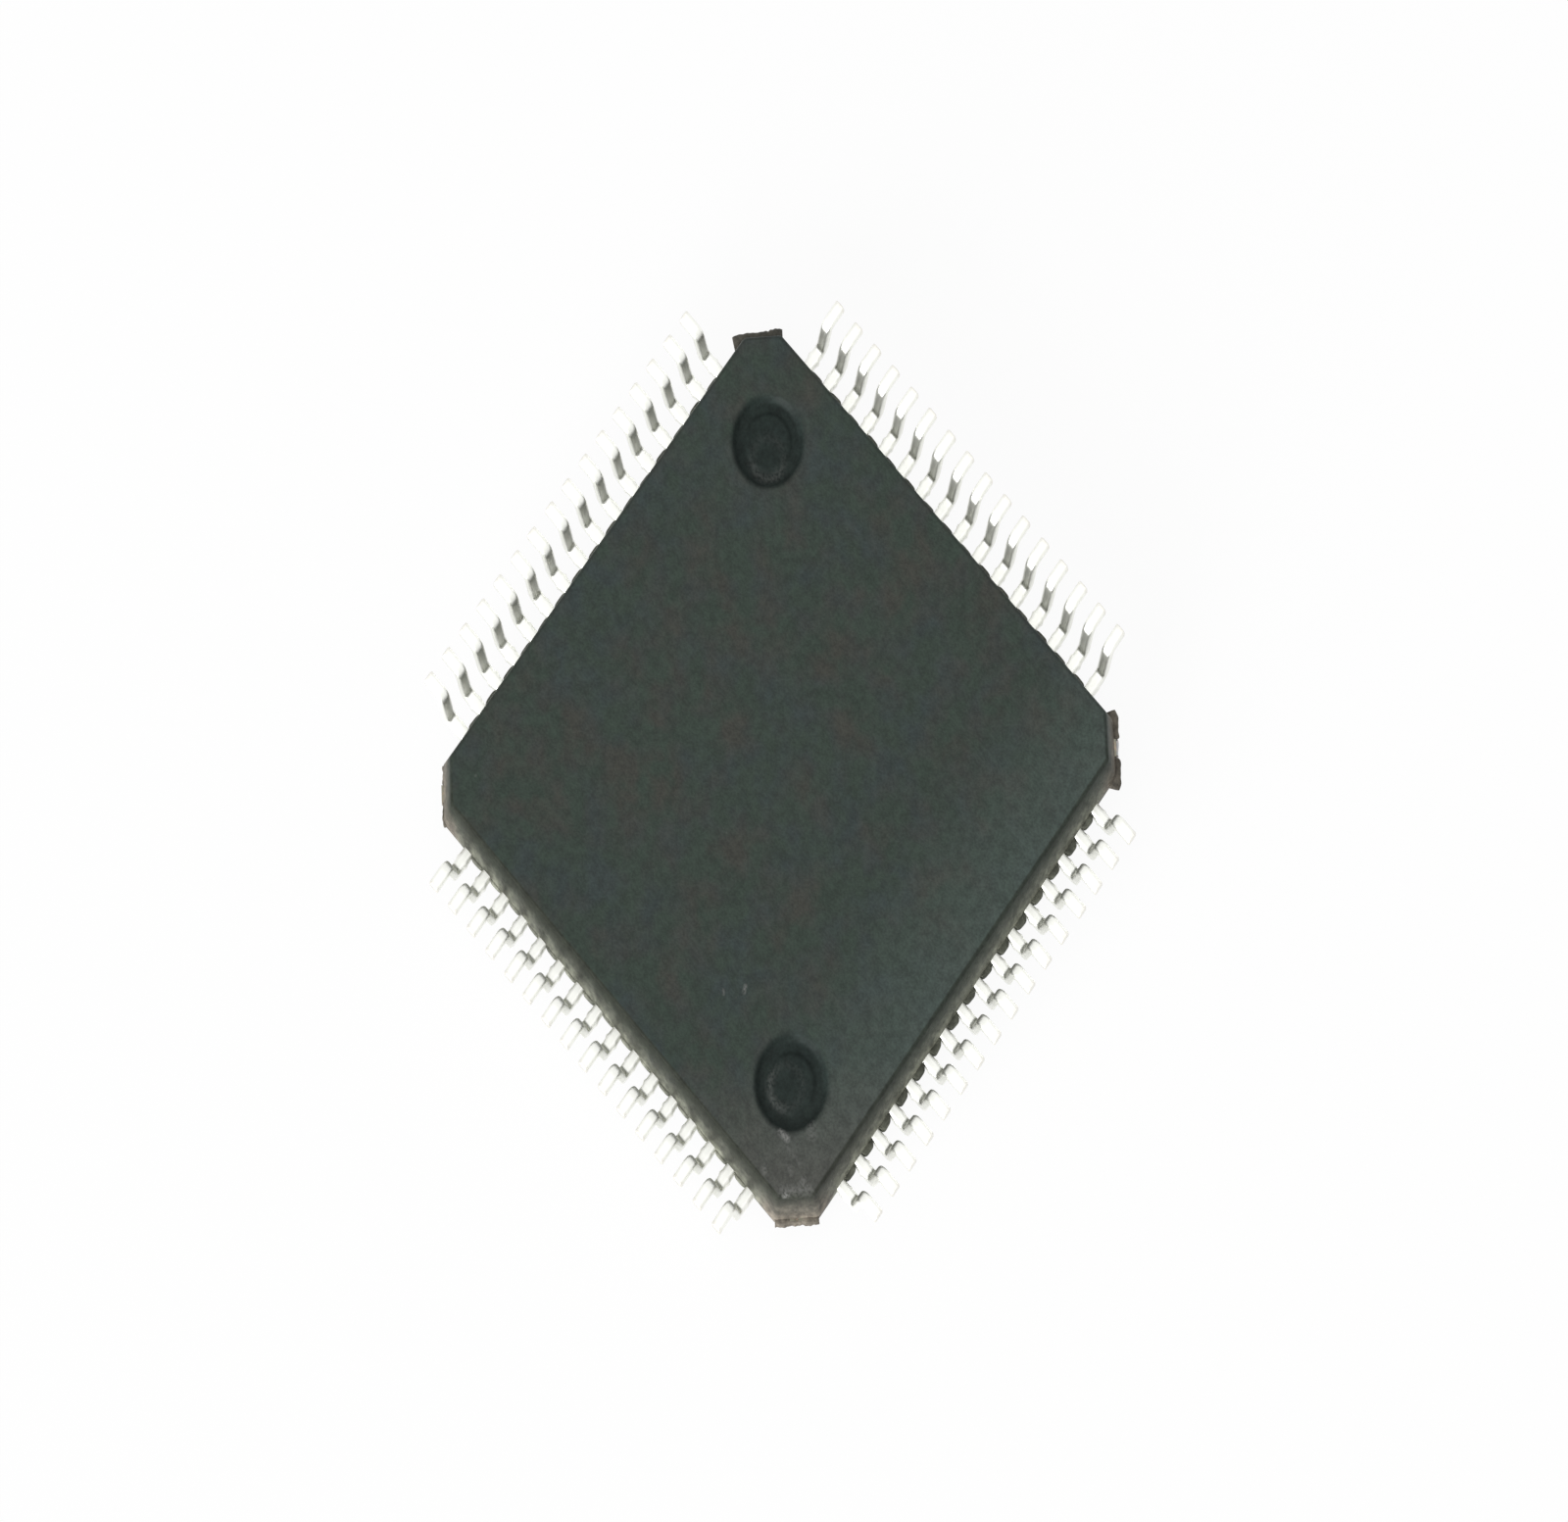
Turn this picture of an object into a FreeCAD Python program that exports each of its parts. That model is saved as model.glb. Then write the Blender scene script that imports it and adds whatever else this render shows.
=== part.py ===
import FreeCAD, Part
import math
import os

# Quad flat pack chip: a square moulded body on a formed leadframe, with gull-wing leads on
# all four sides. Inside are the die pad on its tie bars, the die and the bond wires.
#
# All sizes are in millimetres. Each piece is drawn as it sits on a board: the feet of the leads
# lie on z = 0, +Z points away from the board, and lead 1 is on the -X side next to the (-X, +Y)
# corner, with the numbers running counter-clockwise seen from above. The finished chip is then
# turned over about the X axis, because it lies on its top face with its leads in the air: its
# origin is the centre of the top face, +Z points out of the underside, and lead 1 comes to the
# (-X, -Y) corner.

# Moulded body
BODY_WIDTH = 10.0  # across the parting rim
BODY_THICKNESS = 1.4
STANDOFF = 0.1  # air between the body and the board
DRAFT_ANGLE = 13.0  # degrees that the walls lean in, above and below the rim
CORNER_CUT = 0.6  # leg of the corner chamfer, at the rim
EDGE_RADIUS = 0.07  # round of the top and bottom edges

# Flash left on the rim at the corners, each side of the cut tie bar
FLASH_OUT = 0.06  # stands out from the chamfer
EAR_OUT = 0.09  # stands out from the side of the body, in a point
EAR_WIDTH = 0.16

# Ejector marks in the underside, each with a low boss in its middle
MARK_DIAMETER = 1.35
MARK_CENTRE = 3.42  # from each centre line of the body
MARK_DEPTH = 0.1
MARK_LEAN = 0.05  # how far the wall of a mark leans in
MARK_BOSS_DIAMETER = 0.9
MARK_BOSS_HEIGHT = 0.03

# Plain round dimple in the top face, next to lead 1
DIMPLE_DIAMETER = 1.0
DIMPLE_CENTRE = 3.75
DIMPLE_DEPTH = 0.08

# Leads, outside the body
LEADS_PER_SIDE = 16
LEAD_PITCH = 0.5
LEAD_WIDTH = 0.22
LEAD_THICKNESS = 0.15
LEAD_SPAN = 12.0  # toe to toe, across the package
SHOULDER = 0.3  # straight run from the body to the first bend
BEND_RADIUS = 0.16  # on the centre line of the lead
BEND_ANGLE = 78.0  # degrees that the lead turns down, and back again
BEND_STEPS = 5  # flats round each bend

# Leads, inside the body
ROOT_INSET = 0.5  # the lead runs straight this far into the body
TIP_X = 3.05  # distance of the lead tips from the package's centre
TIP_FAN = 0.6  # tip pitch as a share of the lead pitch
TIP_WIDTH = 0.16

# Die pad and tie bars, pressed down below the leads
PAD_WIDTH = 5.2
PAD_DOWNSET = 0.2
TIE_WIDTH = 0.26
TIE_RAMP_START = 3.9  # along the diagonal, where the tie bar starts to climb
TIE_RAMP_LENGTH = 0.3
TIE_END_OUT = 0.04  # the cut end stands out from the chamfer

# Die, its adhesive and the bond wires
DIE_WIDTH = 3.6
DIE_THICKNESS = 0.28
ADHESIVE_THICKNESS = 0.03
BOND_INSET = 0.12  # from the die's edge to the row of bonds
BOND_FAN = 0.42  # bond pitch on the die as a share of the lead pitch
LANDING = 0.15  # from the lead tip to the wire's second bond
WIRE_SIZE = 0.025
LOOP_RISE = 0.18  # height of the wire loop over the die
LOOP_CREST = 0.5  # share of the wire's run at loop height

# Levels and lengths worked out from the sizes above
BODY_BOTTOM = STANDOFF
BODY_TOP = STANDOFF + BODY_THICKNESS
LEAD_LEVEL = STANDOFF + BODY_THICKNESS / 2  # centre line of the leadframe
RIM_BOTTOM = LEAD_LEVEL - LEAD_THICKNESS / 2
RIM_TOP = LEAD_LEVEL + LEAD_THICKNESS / 2
HALF_BODY = BODY_WIDTH / 2
ROOT_X = HALF_BODY - ROOT_INSET
CHAMFER_REACH = (BODY_WIDTH - CORNER_CUT) / math.sqrt(2)  # centre to chamfer, at the rim
PAD_BOTTOM = RIM_BOTTOM - PAD_DOWNSET
PAD_TOP = RIM_TOP - PAD_DOWNSET
DIE_BOTTOM = PAD_TOP + ADHESIVE_THICKNESS
DIE_TOP = DIE_BOTTOM + DIE_THICKNESS

CENTRE = FreeCAD.Vector(0, 0, 0)
ALONG_X = FreeCAD.Vector(1, 0, 0)
UP = FreeCAD.Vector(0, 0, 1)


def turned(shape, angle):
    """Copy of a shape, turned about the package's vertical centre line."""
    copy = shape.copy()
    copy.rotate(CENTRE, UP, angle)
    return copy


def turned_over(shape):
    """Copy of a shape, turned over with the whole chip so that its top face is on z = 0."""
    copy = shape.copy()
    copy.rotate(CENTRE, ALONG_X, 180)
    copy.translate(UP * BODY_TOP)
    return copy


def four_corners(shape):
    """The shape and its three copies, a quarter turn apart."""
    return [turned(shape, 90 * quarter) for quarter in range(4)]


def flat_face(points):
    """Flat face inside a ring of points."""
    return Part.Face(Part.makePolygon(points + points[:1]))


def plate(outline, bottom, thickness):
    """Flat plate: a plan outline of (x, y) points, raised by its thickness."""
    return flat_face([FreeCAD.Vector(x, y, bottom) for x, y in outline]).extrude(UP * thickness)


def block(width, bottom, thickness):
    """Square block, centred on the package."""
    corner = FreeCAD.Vector(-width / 2, -width / 2, bottom)
    return Part.makeBox(width, width, thickness, corner)


# --- moulded body ---------------------------------------------------------------------------


def body_section(level):
    """Corners of the moulded block at one level: a square with its corners cut at 45 degrees.

    The walls and the corner faces have the same draft, so the corner cut shrinks with height.
    """
    rise = max(level - RIM_TOP, RIM_BOTTOM - level, 0)
    inset = rise * math.tan(math.radians(DRAFT_ANGLE))
    half = HALF_BODY - inset
    side = half - CORNER_CUT + (2 - math.sqrt(2)) * inset
    points = []
    for quarter in range(4):
        rotation = FreeCAD.Rotation(UP, 90 * quarter)
        points += [rotation.multVec(FreeCAD.Vector(half, y, level)) for y in (-side, side)]
    return points


def moulded_block():
    """Body with drafted walls above and below an upright rim, its flat faces rounded off."""
    sections = [body_section(level) for level in (BODY_BOTTOM, RIM_BOTTOM, RIM_TOP, BODY_TOP)]
    faces = [flat_face(sections[0][::-1]), flat_face(sections[-1])]
    for lower, upper in zip(sections, sections[1:]):
        for index in range(len(lower)):
            after = (index + 1) % len(lower)
            faces.append(flat_face([lower[index], lower[after], upper[after], upper[index]]))
    sharp = Part.Solid(Part.Shell(faces))
    rounded = []
    for edge in sharp.Edges:
        heights = [vertex.Z for vertex in edge.Vertexes]
        if max(heights) < BODY_BOTTOM + EDGE_RADIUS or min(heights) > BODY_TOP - EDGE_RADIUS:
            rounded.append(edge)
    return sharp.makeFillet(EDGE_RADIUS, rounded)


def corner_flash():
    """Two thin plates at the (+X, +Y) corner, between the tie bar and a pointed ear."""
    reach = CHAMFER_REACH + FLASH_OUT
    half_tie = TIE_WIDTH / 2
    tip_x = HALF_BODY + EAR_OUT
    tip_y = math.sqrt(2) * reach - tip_x
    root = CHAMFER_REACH - FLASH_OUT
    outline = [
        ((reach + half_tie) / math.sqrt(2), (reach - half_tie) / math.sqrt(2)),
        (tip_x, tip_y),
        (HALF_BODY, tip_y - EAR_WIDTH),
        (HALF_BODY - FLASH_OUT, tip_y - EAR_WIDTH),
        ((root + half_tie) / math.sqrt(2), (root - half_tie) / math.sqrt(2)),
    ]
    mirrored = [(y, x) for x, y in outline]
    return [plate(half, RIM_BOTTOM, LEAD_THICKNESS) for half in (outline, mirrored)]


def round_recess(diameter, depth, boss_diameter, boss_height):
    """Cutter for a round recess in a face that looks up, with its centre at the origin."""
    radius = diameter / 2
    boss = boss_diameter / 2
    profile = [
        (0, depth),
        (radius + MARK_LEAN, depth),
        (radius - MARK_LEAN, -depth),
        (boss + boss_height, -depth),
        (boss, boss_height - depth),
        (0, boss_height - depth),
    ]
    return flat_face([FreeCAD.Vector(x, 0, z) for x, z in profile]).revolve(CENTRE, UP, 360)


def face_recesses():
    """The ejector marks at two opposite corners of the underside, and lead 1's dimple on top."""
    recesses = []
    for side in (1, -1):
        mark = round_recess(MARK_DIAMETER, MARK_DEPTH, MARK_BOSS_DIAMETER, MARK_BOSS_HEIGHT)
        mark.rotate(CENTRE, ALONG_X, 180)
        place = FreeCAD.Vector(side * MARK_CENTRE, side * MARK_CENTRE, BODY_BOTTOM)
        mark.translate(place)
        recesses.append(mark)
    dimple = round_recess(DIMPLE_DIAMETER, DIMPLE_DEPTH, DIMPLE_DIAMETER / 2, DIMPLE_DEPTH / 4)
    dimple.translate(FreeCAD.Vector(-DIMPLE_CENTRE, DIMPLE_CENTRE, BODY_TOP))
    return recesses + [dimple]


def mould_body(inner_pieces):
    """The mould compound: the block and its flash, filling all the space round the inner pieces."""
    flash = []
    for half in corner_flash():
        flash += four_corners(half)
    body = moulded_block().fuse(flash)
    body = body.cut(face_recesses()).removeSplitter()
    return body.cut(inner_pieces)


# --- leads ----------------------------------------------------------------------------------


def bend_point(centre, radius, angle):
    """Point (x, z) on a bend, at an angle from straight up of its centre."""
    turn = math.radians(angle)
    return (centre[0] + radius * math.sin(turn), centre[1] + radius * math.cos(turn))


def lead_side(offset):
    """One side line of the bent lead as (x, z) points, from inside the body to the toe.

    The offset is counted up from the centre line, which runs out of the body, turns down,
    falls to the board and turns back to lie flat on it.
    """
    turn = math.radians(BEND_ANGLE)
    foot_level = LEAD_THICKNESS / 2
    drop = LEAD_LEVEL - foot_level - 2 * BEND_RADIUS * (1 - math.cos(turn))
    reach = 2 * BEND_RADIUS * math.sin(turn) + drop / math.tan(turn)
    shoulder = (HALF_BODY + SHOULDER, LEAD_LEVEL - BEND_RADIUS)
    heel = (HALF_BODY + SHOULDER + reach, foot_level + BEND_RADIUS)
    angles = [BEND_ANGLE * step / BEND_STEPS for step in range(BEND_STEPS + 1)]
    first = [bend_point(shoulder, BEND_RADIUS + offset, angle) for angle in angles]
    second = [bend_point(heel, BEND_RADIUS - offset, 180 + angle) for angle in reversed(angles)]
    start = (ROOT_X, LEAD_LEVEL + offset)
    toe = (LEAD_SPAN / 2, foot_level + offset)
    return [start] + first + second + [toe]


def gull_wing():
    """Formed part of a lead on the +X side, centred on y = 0, from inside the body to its toe."""
    outline = lead_side(LEAD_THICKNESS / 2) + lead_side(-LEAD_THICKNESS / 2)[::-1]
    profile = flat_face([FreeCAD.Vector(x, -LEAD_WIDTH / 2, z) for x, z in outline])
    return profile.extrude(FreeCAD.Vector(0, LEAD_WIDTH, 0))


def lead_offset(index):
    """Distance of a lead from the middle of its side, counted counter-clockwise."""
    return (index - (LEADS_PER_SIDE - 1) / 2) * LEAD_PITCH


def lead(index):
    """Lead on the +X side: the gull wing, and the finger that fans in towards the die."""
    y = lead_offset(index)
    tip_y = y * TIP_FAN
    finger = plate(
        [
            (ROOT_X, y + LEAD_WIDTH / 2),
            (TIP_X, tip_y + TIP_WIDTH / 2),
            (TIP_X, tip_y - TIP_WIDTH / 2),
            (ROOT_X, y - LEAD_WIDTH / 2),
        ],
        RIM_BOTTOM,
        LEAD_THICKNESS,
    )
    wing = gull_wing()
    wing.translate(FreeCAD.Vector(0, y, 0))
    return wing.fuse(finger).removeSplitter()


# --- die pad, die and wires -----------------------------------------------------------------


def tie_bar():
    """Tie bar along +X: flat at the pad, a short ramp, then flat at the level of the leads."""
    ramp_end = TIE_RAMP_START + TIE_RAMP_LENGTH
    slope = math.atan2(PAD_DOWNSET, TIE_RAMP_LENGTH)
    shift = LEAD_THICKNESS * math.tan(slope / 2)
    end = CHAMFER_REACH + TIE_END_OUT
    profile = [
        (PAD_WIDTH / 2, PAD_BOTTOM),
        (TIE_RAMP_START, PAD_BOTTOM),
        (ramp_end, RIM_BOTTOM),
        (end, RIM_BOTTOM),
        (end, RIM_TOP),
        (ramp_end - shift, RIM_TOP),
        (TIE_RAMP_START - shift, PAD_TOP),
        (PAD_WIDTH / 2, PAD_TOP),
    ]
    side = flat_face([FreeCAD.Vector(x, -TIE_WIDTH / 2, z) for x, z in profile])
    return side.extrude(FreeCAD.Vector(0, TIE_WIDTH, 0))


def die_pad():
    """Square pad that carries the die, in one piece with its four diagonal tie bars."""
    pad = block(PAD_WIDTH, PAD_BOTTOM, LEAD_THICKNESS)
    bars = four_corners(turned(tie_bar(), 45))
    return pad.fuse(bars).removeSplitter()


def bond_wire(index):
    """Wire from the die to a lead tip on the +X side: up, level over the die's edge, and down.

    The round wire is drawn square, because at this size its section can't be seen.
    """
    y = lead_offset(index)
    landing_share = LANDING / (ROOT_X - TIP_X)
    start = FreeCAD.Vector(DIE_WIDTH / 2 - BOND_INSET, y * BOND_FAN, 0)
    end = FreeCAD.Vector(TIP_X + LANDING, y * (TIP_FAN + (1 - TIP_FAN) * landing_share), 0)
    run = end - start
    crest = LOOP_CREST * run.Length
    half = WIRE_SIZE / 2
    loop_level = DIE_TOP + LOOP_RISE
    profile = [
        (-half, DIE_TOP),
        (-half, loop_level + half),
        (crest + half, loop_level + half),
        (run.Length + half, RIM_TOP),
        (run.Length - half, RIM_TOP),
        (crest - half, loop_level - half),
        (half, loop_level - half),
        (half, DIE_TOP),
    ]
    side = flat_face([FreeCAD.Vector(s, -half, z) for s, z in profile])
    wire = side.extrude(FreeCAD.Vector(0, WIRE_SIZE, 0))
    wire.rotate(CENTRE, UP, math.degrees(math.atan2(run.y, run.x)))
    wire.translate(start)
    return wire


# --- the chip -------------------------------------------------------------------------------


def save(node, pieces):
    """Turn one node over and write it: one piece, or a group of separate pieces."""
    shape = turned_over(pieces[0] if len(pieces) == 1 else Part.makeCompound(pieces))
    shape.exportStep(f"parts/{node}.step")
    print(f"{node}: {len(pieces)} solid(s), {shape.Volume:.4f} mm3, valid {shape.isValid()}")


def build():
    """Make every piece, mould the body round the inner ones, and write them all."""
    os.makedirs("parts", exist_ok=True)
    nodes = {
        "die_pad": [die_pad()],
        "die_adhesive": [block(DIE_WIDTH, PAD_TOP, ADHESIVE_THICKNESS)],
        "silicon_die": [block(DIE_WIDTH, DIE_BOTTOM, DIE_THICKNESS)],
    }
    for side in range(4):
        angle = 180 + 90 * side  # lead 1 starts the -X side
        first = side * LEADS_PER_SIDE + 1
        span = f"{first}_to_{first + LEADS_PER_SIDE - 1}"
        indices = range(LEADS_PER_SIDE)
        nodes[f"leads_{span}"] = [turned(lead(index), angle) for index in indices]
        nodes[f"bond_wires_{span}"] = [turned(bond_wire(index), angle) for index in indices]
    inner_pieces = [piece for pieces in nodes.values() for piece in pieces]
    nodes["mould_body"] = [mould_body(inner_pieces)]
    for node, pieces in nodes.items():
        save(node, pieces)


build()
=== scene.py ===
"""Dressed model of a quad flat pack chip that lies on its top face, underside and leads up.

The moulded body, its flash and the four rows of formed leads are surfaces worked out with numpy.
All sizes are in millimetres until a mesh is written, which is in metres. The pieces sealed inside
the body keep their solid shapes and get a finish of their own.
"""

import logging
import math
from abc import ABC, abstractmethod
from dataclasses import dataclass
from enum import Enum
from functools import cached_property
from typing import ClassVar

import bpy
import numpy as np
from mathutils import Matrix, Vector


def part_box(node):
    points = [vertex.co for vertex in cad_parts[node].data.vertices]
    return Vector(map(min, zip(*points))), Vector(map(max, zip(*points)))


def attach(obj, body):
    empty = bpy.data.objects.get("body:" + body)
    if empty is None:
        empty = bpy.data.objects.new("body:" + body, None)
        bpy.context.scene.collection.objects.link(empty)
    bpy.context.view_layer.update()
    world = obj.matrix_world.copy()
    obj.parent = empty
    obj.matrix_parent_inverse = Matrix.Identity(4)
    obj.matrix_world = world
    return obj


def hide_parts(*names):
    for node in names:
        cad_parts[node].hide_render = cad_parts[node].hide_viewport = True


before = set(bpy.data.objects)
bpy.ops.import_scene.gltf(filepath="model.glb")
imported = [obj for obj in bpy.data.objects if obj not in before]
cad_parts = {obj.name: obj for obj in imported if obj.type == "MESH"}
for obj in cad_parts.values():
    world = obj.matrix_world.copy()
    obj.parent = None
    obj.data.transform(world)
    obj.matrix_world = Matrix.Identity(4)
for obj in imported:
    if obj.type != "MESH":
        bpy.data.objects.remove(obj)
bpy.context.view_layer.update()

LOG = logging.getLogger("chip")
MM = 0.001
SEED = 64
ROOT = "root"

Array = np.ndarray
Colour = tuple[float, float, float]
Pair = tuple[float, float]
Socket = bpy.types.NodeSocket

WHITE: Colour = (1.0, 1.0, 1.0)
PLAN = (1.0, 1.0, 0.0)  # the part of a position that x and y hold
MOST: Pair = (0.3, 0.7)  # where most of the values of a pattern of clouds lie


class Slot(Enum):
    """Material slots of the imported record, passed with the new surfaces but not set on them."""

    MOULD = "mould_compound"
    TIN = "tin_plated_leads"
    COPPER = "bare_copper_alloy"


class Side(Enum):
    """Sides of the body: the lead node that each one holds, and its quarter turn from -Y."""

    MINUS_Y = ("leads_49_to_64", 0)
    PLUS_X = ("leads_33_to_48", 1)
    PLUS_Y = ("leads_17_to_32", 2)
    MINUS_X = ("leads_1_to_16", 3)

    @property
    def node(self) -> str:
        """Name of the solid node with this side's leads."""
        return self.value[0]

    @property
    def outward(self) -> float:
        """Angle of the direction that points out of this side, in radians from +X."""
        return (self.value[1] - 1) * math.pi / 2


# --- shapes shared by the pieces --------------------------------------------------------------


def soft_step(value: Array, start: float, end: float) -> Array:
    """Rise from 0 at start to 1 at end without a kink: 3t^2 - 2t^3, with t the share of the way."""
    t = np.clip((value - start) / (end - start), 0.0, 1.0)
    return t * t * (3 - 2 * t)


def rounded_line(corners: Array, radii: list[float], steps: int, margin: float) -> Array:
    """Line through corner points in a plane, with an arc in place of each inner corner.

    An arc of radius r at a corner that turns by an angle a begins and ends r tan(a/2) away from
    the corner. Its points lie at equal angles about its centre. A further point stands on the
    straight run a margin before and after each arc, which keeps the flats flat when shaded.

    Args:
        corners: Corner points, one row each.
        radii: Arc radius at each inner corner.
        steps: Spans in each arc.
        margin: Distance from an arc's end to the point that guards it.

    Returns:
        The points of the rounded line, one row each.
    """
    parts = [corners[:1]]
    share = np.linspace(0.0, 1.0, steps + 1)[:, None]
    for before, corner, after, radius in zip(corners, corners[1:], corners[2:], radii):
        inward = (before - corner) / np.linalg.norm(before - corner)
        outward = (after - corner) / np.linalg.norm(after - corner)
        turn = math.pi - math.acos(float(np.clip(inward @ outward, -1.0, 1.0)))
        reach = radius * math.tan(turn / 2)
        middle = (inward + outward) / np.linalg.norm(inward + outward)
        centre = corner + middle * radius / math.cos(turn / 2)
        first = corner + inward * reach - centre
        last = corner + outward * reach - centre
        weights = np.sin(turn * (1 - share)), np.sin(turn * share)
        arc = centre + (weights[0] * first + weights[1] * last) / math.sin(turn)
        guards = corner + np.array([inward, outward]) * (reach + margin)
        parts += [guards[:1], arc, guards[1:]]
    parts.append(corners[-1:])
    return np.concatenate(parts)


def along(line: Array, distance: Array) -> Array:
    """Points at given distances from a line's first point, by linear steps between its points."""
    lengths = np.append(0.0, np.cumsum(np.linalg.norm(np.diff(line, axis=0), axis=1)))
    return np.stack([np.interp(distance, lengths, column) for column in line.T], axis=-1)


def length_of(line: Array) -> float:
    """Length of a line of points."""
    return float(np.linalg.norm(np.diff(line, axis=0), axis=1).sum())


def turned(plan: Array, angle: float) -> Array:
    """Plan points (x, y) turned about the package's centre by an angle in radians."""
    cosine, sine = math.cos(angle), math.sin(angle)
    return plan @ np.array([[cosine, sine], [-sine, cosine]])


def cells(index: Array, closed: bool = False) -> Array:
    """Four-cornered faces between neighbouring rows and columns of a table of point numbers.

    The face at row i and column j joins (i, j), (i, j+1), (i+1, j+1) and (i+1, j).

    Args:
        index: Point numbers, as rows and columns.
        closed: Whether the last column meets the first.

    Returns:
        Corner numbers, one row to a face.
    """
    near = np.concatenate([index, index[:, :1]], axis=1) if closed else index
    corners = near[:-1, :-1], near[:-1, 1:], near[1:, 1:], near[1:, :-1]
    return np.stack([corner.ravel() for corner in corners], axis=1)


def fan(ring: Array, middle: int) -> Array:
    """Triangles from each side of a closed ring of point numbers to a middle point."""
    return np.stack([ring, np.roll(ring, -1), np.full_like(ring, middle)], axis=1)


def linked(name: str, data: bpy.types.ID | None) -> bpy.types.Object:
    """New object that holds some data, put in the scene.

    Args:
        name: Name of the object.
        data: What it holds, or nothing.

    Returns:
        The object.
    """
    thing = bpy.data.objects.new(name, data)
    bpy.context.scene.collection.objects.link(thing)
    return thing


@dataclass
class Surface:
    """Points in millimetres, the faces between them, and four finish weights at each point."""

    points: Array
    faces: list[Array]
    zones: Array

    @staticmethod
    def joined(parts: list["Surface"]) -> "Surface":
        """One surface with the points and faces of several.

        Args:
            parts: The surfaces to put together.

        Returns:
            The surface that holds them all.
        """
        faces: list[Array] = []
        start = 0
        for part in parts:
            faces += [group + start for group in part.faces]
            start += len(part.points)
        points = np.concatenate([part.points for part in parts])
        return Surface(points, faces, np.concatenate([part.zones for part in parts]))

    def turned(self, angle: float) -> "Surface":
        """Copy of the surface, turned about the package's vertical centre line."""
        points = np.column_stack([turned(self.points[:, :2], angle), self.points[:, 2]])
        return Surface(points, self.faces, self.zones)

    def piece(self, name: str, material: bpy.types.Material, slot: Slot) -> bpy.types.Object:
        """Write the surface to a mesh object that rides on the chip.

        Args:
            name: Name of the piece.
            material: Its finish.
            slot: The record's material slot that the finish belongs to. Not used.

        Returns:
            The new object, at the origin, with its place in its mesh.
        """
        corners = np.concatenate([group.ravel() for group in self.faces])
        sizes = np.concatenate([np.full(len(group), group.shape[1]) for group in self.faces])
        mesh = bpy.data.meshes.new(name)
        mesh.vertices.add(len(self.points))
        mesh.vertices.foreach_set("co", (self.points * MM).astype(np.float32).ravel())
        mesh.loops.add(len(corners))
        mesh.loops.foreach_set("vertex_index", corners.astype(np.int32))
        mesh.polygons.add(len(sizes))
        mesh.polygons.foreach_set("loop_start", (np.cumsum(sizes) - sizes).astype(np.int32))
        mesh.update(calc_edges=True)
        mesh.validate()
        mesh.shade_smooth()
        weights = mesh.attributes.new("zones", "FLOAT_COLOR", "POINT")
        weights.data.foreach_set("color", self.zones.astype(np.float32).ravel())
        mesh.materials.append(material)
        piece = linked(name, mesh)
        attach(piece, ROOT)
        LOG.info("%s: %d points, %d triangles", name, len(self.points), (sizes - 2).sum())
        return piece


@dataclass(kw_only=True)
class Package:
    """Sizes that the body, its flash and the leads share."""

    half_width: float = 5.0
    body_height: float = 1.4
    corner_cut: float = 0.6
    rim_height: float = 0.15
    lead_count: int = 16
    lead_width: float = 0.22
    pitch: float = 0.5

    @property
    def cut_reach(self) -> float:
        """Distance of the corner cuts from the centre, at the rim."""
        return (2 * self.half_width - self.corner_cut) / math.sqrt(2)


# --- finishes ---------------------------------------------------------------------------------


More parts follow.
